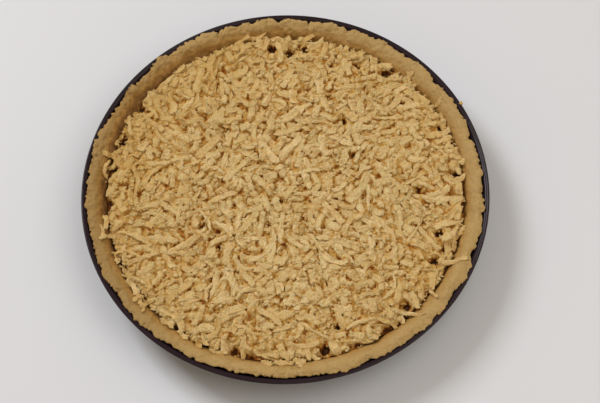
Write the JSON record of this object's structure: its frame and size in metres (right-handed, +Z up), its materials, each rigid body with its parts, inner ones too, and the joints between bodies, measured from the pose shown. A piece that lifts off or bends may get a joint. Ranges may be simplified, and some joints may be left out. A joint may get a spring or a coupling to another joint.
{
  "type": "unbaked shortcrust apple pie in a tin",
  "caption": "Round shortcrust pie with apple filling under grated pastry, unbaked, in its dark flared tin.",
  "frame": {"origin": "middle of the tin's flat underside", "axes": "+Z up out of the pie, -Y towards the picture's camera, +X to its right"},
  "size_m": [0.288, 0.288, 0.0386],
  "materials": {
    "tin": "dark non-stick coating, satin gloss",
    "pastry": "raw shortcrust dough, matt with a little butter sheen",
    "filling": "moist cooked apple, glossy",
    "grated_pastry": "raw grated shortcrust dough, matt and crumbly"
  },
  "bodies": {
    "root": {"tin": "tin", "crust": "pastry", "apple_filling": "filling", "grated_topping": "grated_pastry"}
  },
  "joints": []
}
